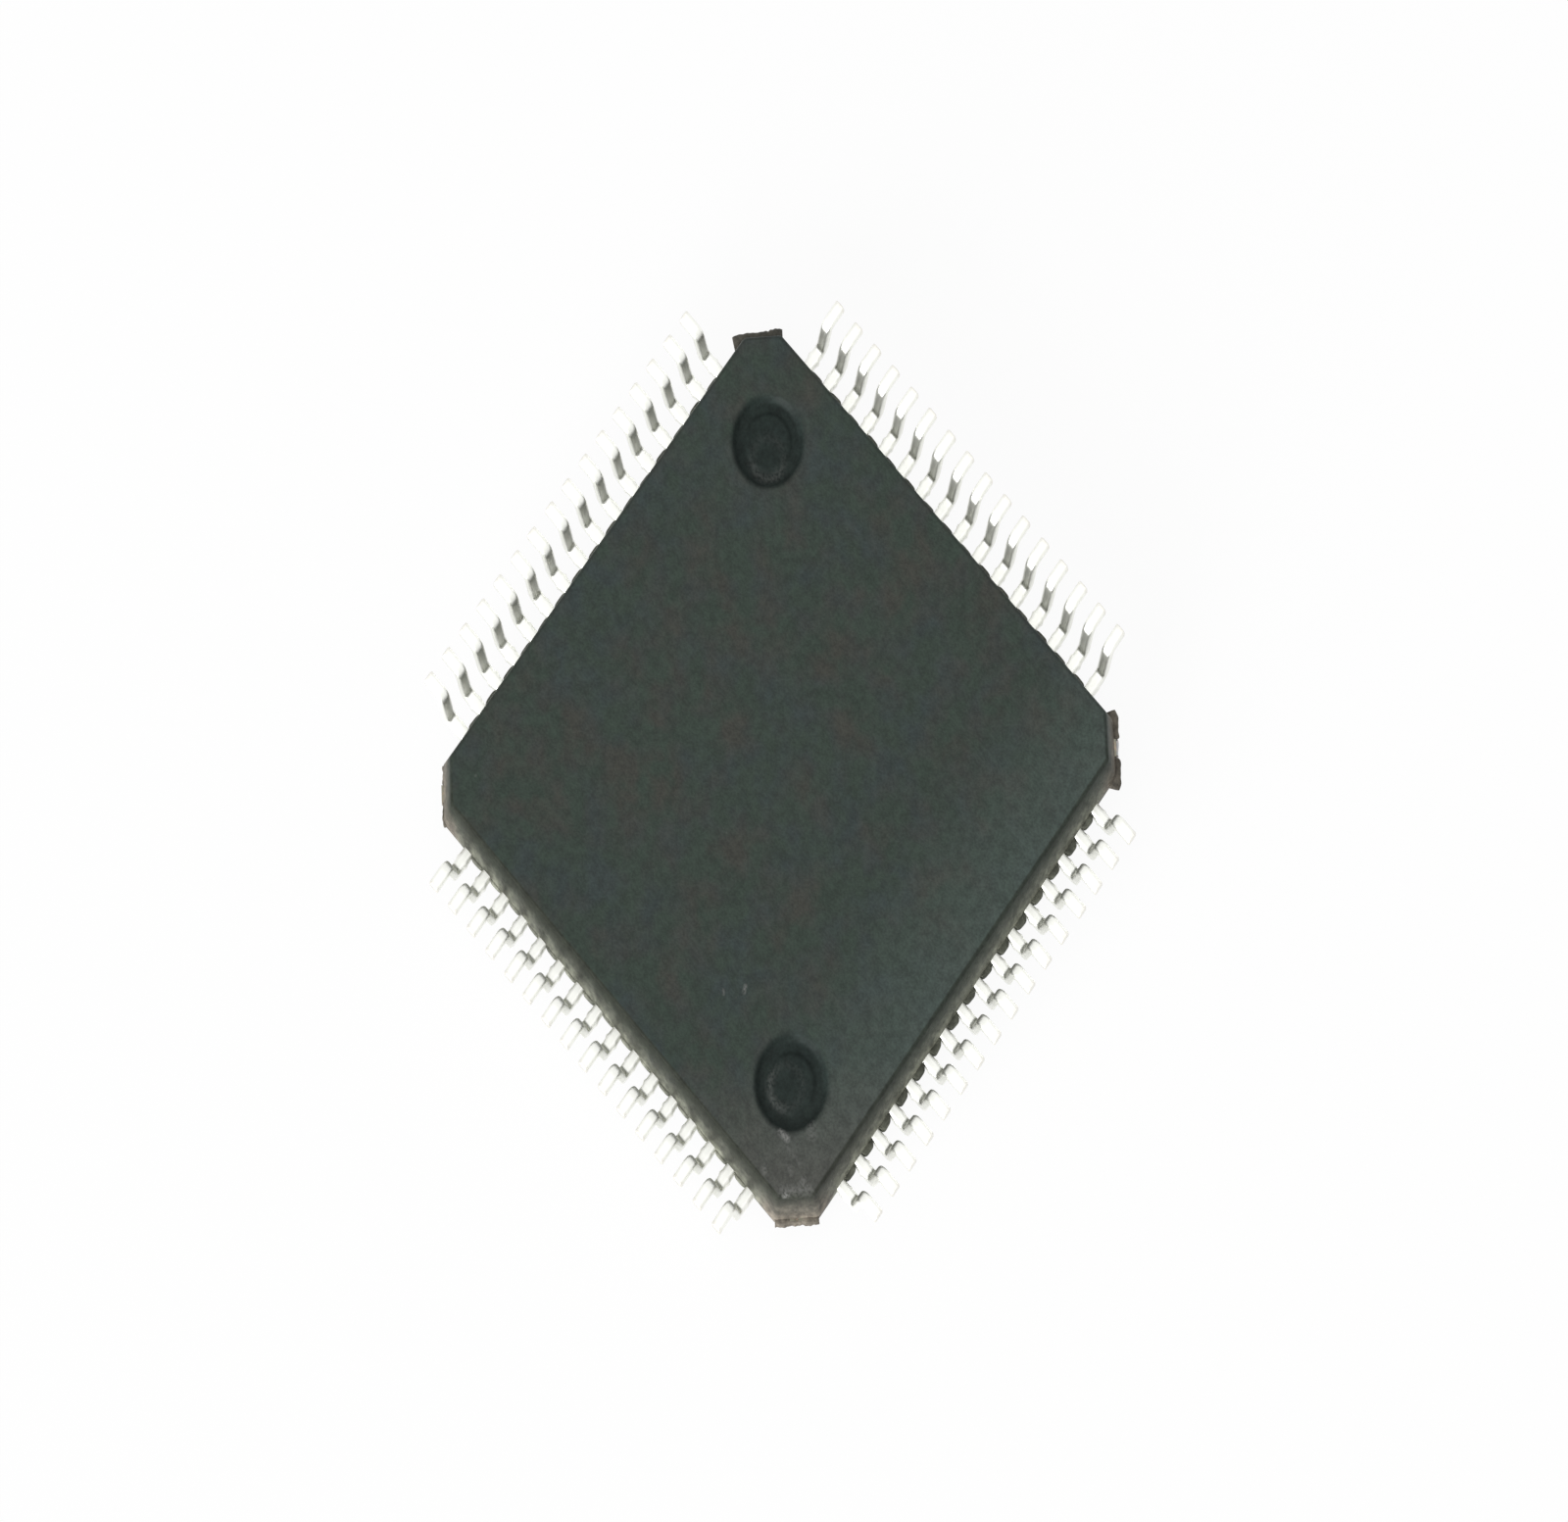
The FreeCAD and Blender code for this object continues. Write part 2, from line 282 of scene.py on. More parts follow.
class NodeBoard:
    """Shader nodes of one material or world, with short calls for the steps they share."""

    def __init__(self, tree: bpy.types.NodeTree) -> None:
        """Clear a node tree, ready for new nodes."""
        self.tree = tree
        self.tree.nodes.clear()

    def add(self, kind: str, inputs: dict | None = None, **settings: object) -> bpy.types.Node:
        """Add a node, set it up and feed its inputs.

        Args:
            kind: Type of the node, without its ShaderNode prefix.
            inputs: For each input, by name or number, a socket to link or a value to set.
            settings: Properties of the node itself.

        Returns:
            The new node.
        """
        node = self.tree.nodes.new("ShaderNode" + kind)
        for name, value in settings.items():
            setattr(node, name, value)
        for key, value in (inputs or {}).items():
            socket = node.inputs[key]
            if isinstance(value, bpy.types.NodeSocket):
                self.tree.links.new(value, socket)
            else:
                socket.default_value = (*value, 1.0) if socket.type == "RGBA" else value
        return node

    def math(self, operation: str, first: object, second: object) -> Socket:
        """Result of one sum on two sockets or numbers."""
        return self.add("Math", {0: first, 1: second}, operation=operation).outputs[0]

    def times(self, first: object, second: object) -> Socket:
        """Product of two sockets or numbers."""
        return self.math("MULTIPLY", first, second)

    def vector(self, operation: str, *inputs: object, out: str = "Vector") -> Socket:
        """Result of one sum on vectors."""
        return self.add("VectorMath", dict(enumerate(inputs)), operation=operation).outputs[out]

    def scaled(self, vector: object, share: object) -> Socket:
        """Vector or colour times a number."""
        return self.add("VectorMath", {0: vector, "Scale": share}, operation="SCALE").outputs[0]

    def blend(self, share: object, first: object, second: object) -> Socket:
        """Colour between two colours, by a share from 0 to 1."""
        inputs = {0: share, 6: first, 7: second}
        return self.add("Mix", inputs, data_type="RGBA").outputs[2]

    def spread(self, value: Socket, old: Pair, new: Pair = (0.0, 1.0)) -> Socket:
        """Value stretched from one range to another, and held inside it."""
        inputs = dict(enumerate((value, *old, *new)))
        return self.add("MapRange", inputs, clamp=True).outputs[0]

    @cached_property
    def place(self) -> Socket:
        """Position on the piece, in millimetres."""
        return self.scaled(self.add("TexCoord").outputs["Object"], 1 / MM)

    def noise(self, size: float, detail: float = 2.0) -> Socket:
        """Pattern of clouds of a size in millimetres, with finer ones laid over it by detail."""
        inputs = {"Vector": self.place, "Scale": 1 / size, "Detail": detail}
        return self.add("TexNoise", inputs).outputs["Fac"]

    def crystals(self, size: float, **settings: object) -> dict[str, Socket]:
        """Outputs of a pattern of cells of a size in millimetres."""
        inputs = {"Vector": self.place, "Scale": 1 / size}
        return dict(self.add("TexVoronoi", inputs, **settings).outputs.items())

    def channels(self, colour: Socket) -> list[Socket]:
        """The three channels of a colour."""
        return list(self.add("SeparateColor", {0: colour}).outputs)

    def zones(self) -> list[Socket]:
        """The four finish weights that a piece carries at each of its points."""
        weights = self.add("Attribute", attribute_name="zones").outputs
        return [*self.channels(weights["Color"]), weights["Alpha"]]

    def relief(self, height: Socket, depth: float) -> Socket:
        """Surface normal over a relief with a height from 0 to 1 and a depth in millimetres."""
        inputs = {"Height": height, "Distance": depth * MM, "Strength": 1.0}
        return self.add("Bump", inputs).outputs[0]

    def finish(self, **inputs: object) -> None:
        """Join a principled shader to the output.

        Args:
            inputs: Its inputs, with an underscore for each space in their names.
        """
        named = {key.replace("_", " "): value for key, value in inputs.items()}
        shader = self.add("BsdfPrincipled", named)
        self.add("OutputMaterial", {0: shader.outputs[0]})

    def background_rays(self) -> Socket:
        """Rays that show the background: from the camera, gloss and clear parts.

        Returns:
            1 for those rays and 0 for the others.
        """
        path = self.add("LightPath").outputs
        seen = self.math("MAXIMUM", path["Is Camera Ray"], path["Is Glossy Ray"])
        return self.math("MAXIMUM", seen, path["Is Transmission Ray"])


class Finish(ABC):
    """Finish of a piece: its colours and sizes are its fields, and draw lays out its nodes."""

    @abstractmethod
    def draw(self, board: NodeBoard) -> None:
        """Lay out the nodes on a board."""

    def material(self, name: str) -> bpy.types.Material:
        """Make the finish.

        Args:
            name: Name of the material.

        Returns:
            The material.
        """
        material = bpy.data.materials.new(name)
        material.use_nodes = True
        self.draw(NodeBoard(material.node_tree))
        return material


@dataclass(frozen=True)
class Scuff:
    """Light scuffed stroke on the underside, from one point (x, y) to another."""

    start: Pair
    end: Pair
    width: float
    strength: float

    def weight(self, board: NodeBoard) -> Socket:
        """Strength of the stroke, which fades with the distance from its line.

        With run the vector from start to end, the nearest point is start + t run, where t is
        (place - start) . run / |run|^2, held between 0 and 1.

        Args:
            board: Board for the nodes.

        Returns:
            The weight of the stroke, from 0 to its strength.
        """
        start = Vector((*self.start, Package.body_height))
        run = Vector((*self.end, Package.body_height)) - start
        offset = board.vector("SUBTRACT", board.place, start)
        t = board.vector("DOT_PRODUCT", offset, run / run.length_squared, out="Value")
        nearest = board.scaled(run, board.add("Clamp", {0: t}).outputs[0])
        apart = board.vector("DISTANCE", offset, nearest, out="Value")
        return board.spread(apart, (0.0, self.width), (self.strength, 0.0))


@dataclass(frozen=True)
class MouldFinish(Finish):
    """Fine matt epoxy mould compound: cloudy dark grey-green with a spark-eroded grain.

    The zones are: painted edge shade, floor of an ejector mark, painted highlight on the ring in
    it, and wall. A tone comes in over a stretch: of x on the side with a painted sheen, of x - y
    at the corner with a painted sheen, of |x| + |y| at the cut corners, and of z where the wall
    turns paler.
    """

    base: Colour = (0.0245, 0.0380, 0.0285)
    blue: Colour = (0.0255, 0.0365, 0.0355)
    brown: Colour = (0.0350, 0.0355, 0.0290)
    # painted sheen: the paler tone towards the +X side
    pale: Colour = (0.050, 0.069, 0.060)
    # painted sheen: the grey tone at the (+X, -Y) corner
    sheen_and_wear: Colour = (0.064, 0.066, 0.058)
    wall: Colour = (0.165, 0.169, 0.135)
    warm_wall: Colour = (0.152, 0.128, 0.104)
    # painted shade along the edges of both faces and the ends of the walls
    edge: Colour = (0.022, 0.025, 0.018)
    pin_print: Colour = (0.014, 0.021, 0.019)
    # pale grey of the painted highlight on the pin-print ring, of the scuffs and of the filler
    # specks
    painted_light_and_wear: Colour = (0.24, 0.24, 0.23)
    # stretches of x and of x - y over which the painted sheen comes in
    pale_side: Pair = (2.8, 5.0)
    sheen_corner: Pair = (6.4, 8.8)
    cut_corner: Pair = (8.9, 9.15)
    pale_level: Pair = (0.80, 1.08)
    cloud_size: float = 1.1
    patch_size: float = 0.495
    gloss_patch_size: float = 0.3
    wall_mottle_size: float = 0.17
    mottle_size: float = 0.16
    grain_size: float = 0.05
    grain_depth: float = 0.005
    speck_spacing: float = 0.6
    speck_size: float = 0.035
    speck_strength: float = 0.45
    wall_mottling: Pair = (0.60, 1.42)
    mottling: Pair = (0.72, 1.28)
    edge_cover: float = 0.92
    mark_cover: float = 0.9
    # strength of the painted highlight on the ring
    ring_highlight: float = 0.18
    roughness: Pair = (0.52, 0.64)
    gloss: float = 0.3
    scuffs: tuple[Scuff, ...] = (
        Scuff((4.36, -4.72), (4.72, -4.36), 0.12, 0.38),
        Scuff((4.43, -4.73), (4.45, -4.71), 0.09, 0.9),
        Scuff((4.56, -4.34), (4.66, -4.42), 0.10, 0.36),
        Scuff((3.75, -4.10), (3.91, -4.09), 0.08, 0.9),
        Scuff((4.12, -3.64), (4.24, -3.74), 0.13, 0.26),
        Scuff((3.92, -4.18), (4.34, -4.20), 0.05, 0.16),
        Scuff((4.24, -4.38), (4.30, -4.42), 0.08, 0.22),
        Scuff((3.87, -4.71), (3.90, -4.75), 0.08, 0.34),
        Scuff((1.80, -2.97), (1.84, -3.06), 0.05, 0.55),
        Scuff((1.52, -3.30), (1.56, -3.34), 0.04, 0.35),
    )

    def face_colour(self, board: NodeBoard) -> Socket:
        """Cloudy colour of the two faces.

        Args:
            board: Board for the nodes.

        Returns:
            The colour, with a painted sheen that makes it paler towards the +X side and
            greyer at the (+X, -Y) corner.
        """
        clouds = board.spread(board.noise(self.cloud_size, 3.0), (0.38, 0.62))
        patches = board.spread(board.noise(self.patch_size), (0.38, 0.62), (0.0, 0.9))
        colour = board.blend(patches, self.base, board.blend(clouds, self.blue, self.brown))
        x, y, _ = board.add("SeparateXYZ", {0: board.place}).outputs
        # painted sheen: paler towards +X and greyer at the (+X, -Y) corner
        colour = board.blend(board.spread(x, self.pale_side, (0.0, 0.85)), colour, self.pale)
        corner = board.spread(board.math("SUBTRACT", x, y), self.sheen_corner, (0.0, 0.95))
        return board.blend(corner, colour, self.sheen_and_wear)

    def wall_colour(self, board: NodeBoard) -> Socket:
        """Mottled colour of the walls, warmer at the cut corners and paler near the underside.

        Args:
            board: Board for the nodes.

        Returns:
            The colour.
        """
        plan = board.vector("ABSOLUTE", board.place)
        reach = board.vector("DOT_PRODUCT", plan, PLAN, out="Value")
        colour = board.blend(
            board.spread(reach, self.cut_corner, (0.0, 0.8)), self.wall, self.warm_wall
        )
        mottle = board.noise(self.wall_mottle_size, 3.0)
        uneven = board.spread(mottle, (0.34, 0.66), self.wall_mottling)
        level = board.add("SeparateXYZ", {0: board.place}).outputs[2]
        paler = board.spread(level, self.pale_level, (1.0, 1.3))
        return board.scaled(colour, board.times(uneven, paler))

    def specks(self, board: NodeBoard) -> Socket:
        """Sparse pale grains of filler: one to a cell, in the few cells with a high number.

        Args:
            board: Board for the nodes.

        Returns:
            The weight of the grains.
        """
        cell = board.crystals(self.speck_spacing)
        near = self.speck_size / self.speck_spacing
        spot = board.spread(cell["Distance"], (0.4 * near, near), (1.0, 0.0))
        chosen = board.channels(cell["Color"])[0]
        return board.times(spot, board.spread(chosen, (0.8, 1.0), (0.0, self.speck_strength)))

    def draw(self, board: NodeBoard) -> None:
        """Colour the faces, walls, edges and marks, then lay grain, scuffs and specks on them.

        Args:
            board: Board for the nodes.
        """
        edge, mark, ring, wall = board.zones()
        colour = board.blend(wall, self.face_colour(board), self.wall_colour(board))
        # painted shade along the edges
        colour = board.blend(board.times(edge, self.edge_cover), colour, self.edge)
        colour = board.blend(board.times(mark, self.mark_cover), colour, self.pin_print)
        grain = board.noise(self.grain_size, 3.0)
        mottle = board.noise(self.mottle_size)
        tone = board.spread(board.math("ADD", grain, mottle), (0.75, 1.25), self.mottling)
        colour = board.scaled(colour, tone)
        # painted highlight on the ring, then the real scuffs and filler specks
        sheen_and_wear = board.times(ring, self.ring_highlight)
        for scuff in self.scuffs:
            sheen_and_wear = board.math("MAXIMUM", sheen_and_wear, scuff.weight(board))
        sheen_and_wear = board.times(sheen_and_wear, board.spread(grain, (0.38, 0.56), (0.2, 1.0)))
        sheen_and_wear = board.math("MAXIMUM", sheen_and_wear, self.specks(board))
        height = board.math("ADD", grain, board.times(mottle, 0.8))
        quiet = board.spread(board.math("MAXIMUM", mark, edge), (0.0, 1.0), (1.0, 0.4))
        patches = board.noise(self.gloss_patch_size)
        board.finish(
            Base_Color=board.blend(sheen_and_wear, colour, self.painted_light_and_wear),
            Roughness=board.spread(patches, MOST, self.roughness),
            Specular_IOR_Level=board.spread(quiet, (0.4, 1.0), (0.4 * self.gloss, self.gloss)),
            Normal=board.relief(board.times(height, quiet), self.grain_depth),
        )


@dataclass(frozen=True)
class TinFinish(Finish):
    """Matt tin plating: pale warm grey metal with a fine crystal grain.

    The zones are: sheared side, cut toe, tone of the single lead, and painted shade in its heel.
    """

    base: Colour = (0.94, 0.945, 0.90)
    dull: Colour = (0.88, 0.885, 0.83)
    # painted shade in the heel of the leads
    heel_shade: Colour = (0.46, 0.46, 0.40)
    bare: Colour = (0.80, 0.77, 0.71)
    cloud_size: float = 0.25
    grain_size: float = 0.02
    grain_depth: float = 0.00015
    dulling: float = 0.3
    roughness: Pair = (0.37, 0.45)
    sheared_roughness: float = 0.08

    def draw(self, board: NodeBoard) -> None:
        """Cloud the tin, dull some leads, and lay painted heel shade and the bare toe over it.

        Args:
            board: Board for the nodes.
        """
        sheared, toe, tone, heel = board.zones()
        grain = board.noise(self.grain_size, 3.0)
        clouds = board.spread(board.noise(self.cloud_size), (0.42, 0.75), (0.0, 0.7))
        colour = board.blend(clouds, self.base, self.dull)
        colour = board.blend(board.times(tone, self.dulling), colour, self.dull)
        # painted shade in the heel
        colour = board.blend(heel, colour, self.heel_shade)
        smear = board.times(toe, board.spread(grain, (0.35, 0.6), (0.1, 0.8)))
        rough = board.spread(grain, MOST, self.roughness)
        board.finish(
            Base_Color=board.blend(smear, colour, self.bare),
            Metallic=1.0,
            Roughness=board.math("ADD", rough, board.times(sheared, self.sheared_roughness)),
            Normal=board.relief(grain, self.grain_depth),
        )


@dataclass(frozen=True)
class CopperFinish(Finish):
    """Bare stamped copper alloy, greyed by tin where the tie bars come out at the corners."""

    base: Colour = (0.80, 0.50, 0.36)
    dark: Colour = (0.62, 0.35, 0.24)
    tinned: Colour = (0.26, 0.25, 0.20)
    corner: Pair = (6.35, 6.45)
    cloud_size: float = 0.8
    grain_size: float = 0.05
    grain_depth: float = 0.0015
    roughness: Pair = (0.28, 0.42)

    def draw(self, board: NodeBoard) -> None:
        """Cloud the copper and grey it at the corners.

        Args:
            board: Board for the nodes.
        """
        grain = board.noise(self.grain_size, 3.0)
        clouds = board.spread(board.noise(self.cloud_size), (0.35, 0.65))
        colour = board.blend(clouds, self.base, self.dark)
        reach = board.vector("LENGTH", board.vector("MULTIPLY", board.place, PLAN), out="Value")
        outer = board.spread(reach, self.corner)
        patchy = board.times(outer, board.spread(grain, (0.3, 0.5), (0.75, 1.0)))
        board.finish(
            Base_Color=board.blend(patchy, colour, self.tinned),
            Metallic=1.0,
            Roughness=board.spread(grain, MOST, self.roughness),
            Normal=board.relief(grain, self.grain_depth),
        )


@dataclass(frozen=True)
class AdhesiveFinish(Finish):
    """Silver-filled epoxy: grey paste with bright flakes."""

    paste: Colour = (0.42, 0.42, 0.40)
    flake: Colour = (0.80, 0.80, 0.78)
    flake_size: float = 0.02
    lump_size: float = 0.08
    lump_depth: float = 0.004
    roughness: Pair = (0.3, 0.6)

    def draw(self, board: NodeBoard) -> None:
        """Scatter the flakes over the lumpy paste.

        Args:
            board: Board for the nodes.
        """
        flakes = board.crystals(self.flake_size)["Distance"]
        shown = board.spread(flakes, (0.25, 0.45), (1.0, 0.0))
        board.finish(
            Base_Color=board.blend(shown, self.paste, self.flake),
            Metallic=shown,
            Roughness=board.spread(flakes, (0.2, 0.6), self.roughness),
            Normal=board.relief(board.noise(self.lump_size), self.lump_depth),
        )


@dataclass(frozen=True)
class SiliconFinish(Finish):
    """Polished silicon with blocks of fine circuit lines in thin-film colours."""

    bare: Colour = (0.16, 0.17, 0.20)
    film: Colour = (0.22, 0.16, 0.30)
    line: Colour = (0.52, 0.50, 0.40)
    block_size: float = 0.45
    line_size: float = 0.03
    line_depth: float = 0.0006
    roughness: Pair = (0.12, 0.25)

    def draw(self, board: NodeBoard) -> None:
        """Tint the blocks and draw the lines on some of them.

        Args:
            board: Board for the nodes.
        """
        blocks = board.crystals(self.block_size, distance="CHEBYCHEV")["Color"]
        tint, share, gloss = board.channels(blocks)
        colour = board.blend(tint, self.bare, self.film)
        inputs = {"Vector": board.place, "Scale": 0.16 / self.line_size}
        lines = board.add("TexWave", inputs, bands_direction="DIAGONAL").outputs["Fac"]
        drawn = board.times(board.spread(lines, (0.6, 0.8)), share)
        board.finish(
            Base_Color=board.blend(drawn, colour, self.line),
            Metallic=0.6,
            Roughness=board.spread(gloss, (0.0, 1.0), self.roughness),
            Normal=board.relief(lines, self.line_depth),
        )


@dataclass(frozen=True)
class WireFinish(Finish):
    """Drawn gold wire with faint streaks."""

    gold: Colour = (0.95, 0.72, 0.32)
    shadowed: Colour = (0.80, 0.56, 0.22)
    streak_size: float = 0.04
    roughness: Pair = (0.14, 0.26)

    def draw(self, board: NodeBoard) -> None:
        """Streak the gold.

        Args:
            board: Board for the nodes.
        """
        streaks = board.noise(self.streak_size)
        board.finish(
            Base_Color=board.blend(streaks, self.gold, self.shadowed),
            Metallic=1.0,
            Roughness=board.spread(streaks, MOST, self.roughness),
        )


@dataclass(frozen=True)
class FloorFinish(Finish):
    """White table top that shows a soft shadow."""

    paper: float = 0.97
    unevenness: float = 0.015
    fibre_size: float = 1.5
    glow: float = 0.93

    def draw(self, board: NodeBoard) -> None:
        """Mix plain paper with the white that the background rays see.

        Args:
            board: Board for the nodes.
        """
        tones = [(self.paper * (1 + way * self.unevenness),) * 3 for way in (-1, 1)]
        tone = board.blend(board.noise(self.fibre_size), *tones)
        paper = board.add("BsdfDiffuse", {"Color": tone})
        light = board.add("Emission", {"Color": WHITE, "Strength": 1.0})
        share = board.times(board.background_rays(), self.glow)
        inputs = {0: share, 1: paper.outputs[0], 2: light.outputs[0]}
        board.add("OutputMaterial", {0: board.add("MixShader", inputs).outputs[0]})


# --- moulded body -----------------------------------------------------------------------------


@dataclass(frozen=True)
class Recess:
    """Round recess with a soft lip, a flat floor and a low boss in its middle."""

    x: float
    y: float
    radius: float
    depth: float
    boss_radius: float
    boss_height: float
    lip: float = 0.13

    def distance(self, plan: Array) -> Array:
        """Distance of plan points from the centre of the recess."""
        return np.hypot(plan[..., 0] - self.x, plan[..., 1] - self.y)

    def depth_at(self, plan: Array) -> Array:
        """Depth of the recess below its face.

        With r the distance from the centre, a soft step inwards across the lip takes the floor
        down, and a second, narrower one at the boss brings it part of the way up again.

        Args:
            plan: Points (x, y) on the face.

        Returns:
            The depth at each point.
        """
        r = self.distance(plan)
        fall = 1 - soft_step(r, self.radius - self.lip / 2, self.radius + self.lip / 2)
        rise = 1 - soft_step(r, self.boss_radius - self.lip / 4, self.boss_radius + self.lip / 4)
        return self.depth * fall - self.boss_height * rise

    def floor_at(self, plan: Array) -> Array:
        """1 on the floor and the lip of the recess, falling to 0 just outside it."""
        return 1 - soft_step(self.distance(plan), self.radius, self.radius + self.lip)


@dataclass(frozen=True)
class PinPrint(Recess):
    """Recess left by an ejector pin, with a faint raised ring in it that carries a painted
    highlight.
    """

    radius: float = 0.675
    depth: float = 0.1
    boss_radius: float = 0.45
    boss_height: float = 0.03
    ring_x: float = 0.16
    ring_y: float = -0.19
    ring_radius: float = 0.32
    ring_width: float = 0.075
    ring_height: float = 0.012

    def ring_at(self, plan: Array) -> Array:
        """Weight of the ring and its painted highlight, strongest on the side its offset points to.

        With s the distance from the ring's own centre, it is exp(-((s - radius) / width)^2),
        times a share that grows from 0.25 to 1 with the cosine of the angle to that side.

        Args:
            plan: Points (x, y) on the face.

        Returns:
            The weight at each point.
        """
        x, y = plan[..., 0] - self.x - self.ring_x, plan[..., 1] - self.y - self.ring_y
        s = np.maximum(np.hypot(x, y), 1e-6)
        cosine = (x * self.ring_x + y * self.ring_y) / (s * math.hypot(self.ring_x, self.ring_y))
        line = np.exp(-(((s - self.ring_radius) / self.ring_width) ** 2))
        return line * (0.25 + 0.75 * soft_step(cosine, -0.2, 0.9))

    def depth_at(self, plan: Array) -> Array:
        """Depth of the plain recess, less the height of the ring."""
        return super().depth_at(plan) - self.ring_height * self.ring_at(plan)


@dataclass(kw_only=True)
class MouldedBody(Package):
    """Square block with cut corners and drafted walls above and below an upright rim.

    The painted shade along the edges is fainter by its two fades: on the -X and +Y sides, and on
    the +X and +Y sides.
    """

    draft: float = 13.0
    edge_radius: float = 0.07
    corner_radius: float = 0.09
    rim_radius: float = 0.012
    flat_margin: float = 0.25
    guard: float = 0.01
    cell_count: int = 176
    square_reach: float = 4.13
    # painted shade along the edges: its width in from the edge, the heights it covers, and how much
    # it fades on the far and the plus sides
    edge_shade_width: float = 0.035
    edge_shade_height: Pair = (0.70, 0.88)
    edge_shade_fade: Pair = (0.7, 0.22)
    wall_height: Pair = (0.58, 0.88)
    marks: tuple[PinPrint, ...] = (
        PinPrint(-3.42, 3.46),
        PinPrint(3.42, -3.42, ring_x=-0.05, ring_y=-0.1),
    )
    dimple: Recess = Recess(-3.75, -3.75, 0.5, 0.08, boss_radius=0.25, boss_height=0.02)

    @cached_property
    def wall(self) -> Array:
        """Section of the wall, from the edge of the underside down to that of the top face.

        Returns:
            Points (inset, level), where the inset is counted in from the rim's outline.
        """
        top = self.body_height
        low, high = (top - self.rim_height) / 2, (top + self.rim_height) / 2
        lean = low * math.tan(math.radians(self.draft))
        flat = lean + self.flat_margin
        corners = [(flat, top), (lean, top), (0.0, high), (0.0, low), (lean, 0.0), (flat, 0.0)]
        radii = [self.edge_radius, self.rim_radius, self.rim_radius, self.edge_radius]
        return rounded_line(np.array(corners), radii, 8, self.guard)[1:-1]

    def outline(self, inset: float, lines: Array) -> Array:
        """Outline of the body at one inset, at the grid lines of all four sides in turn.

        A side's line runs from its middle along the straight edge, round the corner and half-way
        along the corner cut. Up to a set distance the grid lines meet it square; the rest are
        spread evenly over what is left of it. Mirror and quarter turns give the whole ring.

        Args:
            inset: Distance in from the rim's outline, equal on the sides and the corner cuts.
            lines: Positions of the grid lines across a side, from end to end.

        Returns:
            Points (x, y), counter-clockwise, without repeating the first.
        """
        half = self.half_width - inset
        straight = self.half_width - self.corner_cut - (math.sqrt(2) - 1) * inset
        middle_of_cut = (half + straight) / 2
        corners = np.array([(half, 0.0), (half, straight), (middle_of_cut, middle_of_cut)])
        path = rounded_line(corners, [self.corner_radius], 8, self.guard)
        known = [0.0, self.square_reach, lines[-1]]
        reached = [0.0, self.square_reach, length_of(path)]
        points = along(path, np.interp(np.abs(lines[:-1]), known, reached))
        points[:, 1] *= np.sign(lines[:-1])
        return np.concatenate([turned(points, side.outward) for side in Side])

    def grid_lines(self) -> Array:
        """Grid lines across a face, close together over the marks and at the edges.

        The running count of lines is the integral of one over the wanted spacing, and the lines
        stand where that count takes equal steps.

        Returns:
            Positions of the lines, from one edge of the flat to the other.
        """
        reach = self.half_width - self.wall[0, 0]
        wanted = {
            0.0: 0.16,
            2.3: 0.16,
            2.68: 0.024,
            self.square_reach: 0.024,
            4.5: 0.055,
            reach - 0.03: 0.014,
            reach: 0.012,
        }
        at = np.linspace(0.0, reach, 4001)
        spacing = np.interp(at, list(wanted), list(wanted.values()))
        count = np.append(0.0, np.cumsum(1 / spacing[1:]))
        steps = np.linspace(0.0, count[-1], self.cell_count // 2 + 1)
        positive = np.interp(steps, count, at)
        return np.concatenate([-positive[:0:-1], positive])

    def face_plan(self, lines: Array, ring: Array) -> Array:
        """Plan of a face: a square grid inside that turns into rings along the outline.

        With q the larger of |x| and |y| as a share of the half-width, a point is the square
        grid's own inside a set q. From there to the edge it goes over, by a soft step, to q times
        the outline point that lies in the same direction on the square.

        Args:
            lines: Positions of the grid lines.
            ring: Outline of the face, counter-clockwise from its first corner.

        Returns:
            Points (x, y) as rows and columns.
        """
        half, count = lines[-1], len(lines) - 1
        square = np.stack(np.meshgrid(lines, lines), axis=-1)
        share = np.abs(square).max(axis=-1, keepdims=True) / half
        onto = square / np.maximum(share, 1e-9)
        across, up = np.moveaxis(np.interp(onto, lines, np.arange(count + 1.0)), -1, 0)
        bottom, right = np.isclose(onto[..., 1], -half), np.isclose(onto[..., 0], half)
        conditions = [bottom, right, np.isclose(onto[..., 1], half)]
        choices = [across, count + up, 3 * count - across]
        position = np.select(conditions, choices, 4 * count - up)
        closed = np.concatenate([ring, ring[:1]])
        numbers = np.arange(4 * count + 1.0)
        ringed = np.stack([np.interp(position, numbers, column) for column in closed.T], axis=-1)
        weight = soft_step(share, self.square_reach / half, 1.0)
        return (1 - weight) * square + weight * share * ringed

    def zones(self, points: Array) -> Array:
        """Finish weights: painted edge shade, mark floor, painted ring highlight and wall.

        The inset is the distance in from the rim's outline, and the height is the distance from
        the level of the rim, as a share of half the thickness. The edge's weight, which is painted
        shade, fades out inwards over the face and downwards over the wall, where the wall's own one
        takes over. It is strongest on the -Y side, then on +X, and weak on the other two.

        Args:
            points: Points (x, y, z) of the body.

        Returns:
            Four weights for each point.
        """
        plan, middle = points[:, :2], self.body_height / 2
        x, y, size = plan[:, 0], plan[:, 1], np.abs(plan)
        to_cut = self.cut_reach - size.sum(axis=1) / math.sqrt(2)
        inset = np.minimum(self.half_width - size.max(axis=1), to_cut)
        height = np.abs(points[:, 2] - middle) / middle
        far_sides, plus_sides = 1 - soft_step(x - y, -1.0, 1.0), soft_step(x + y, -1.0, 1.0)
        flat_edge = self.wall[0, 0]
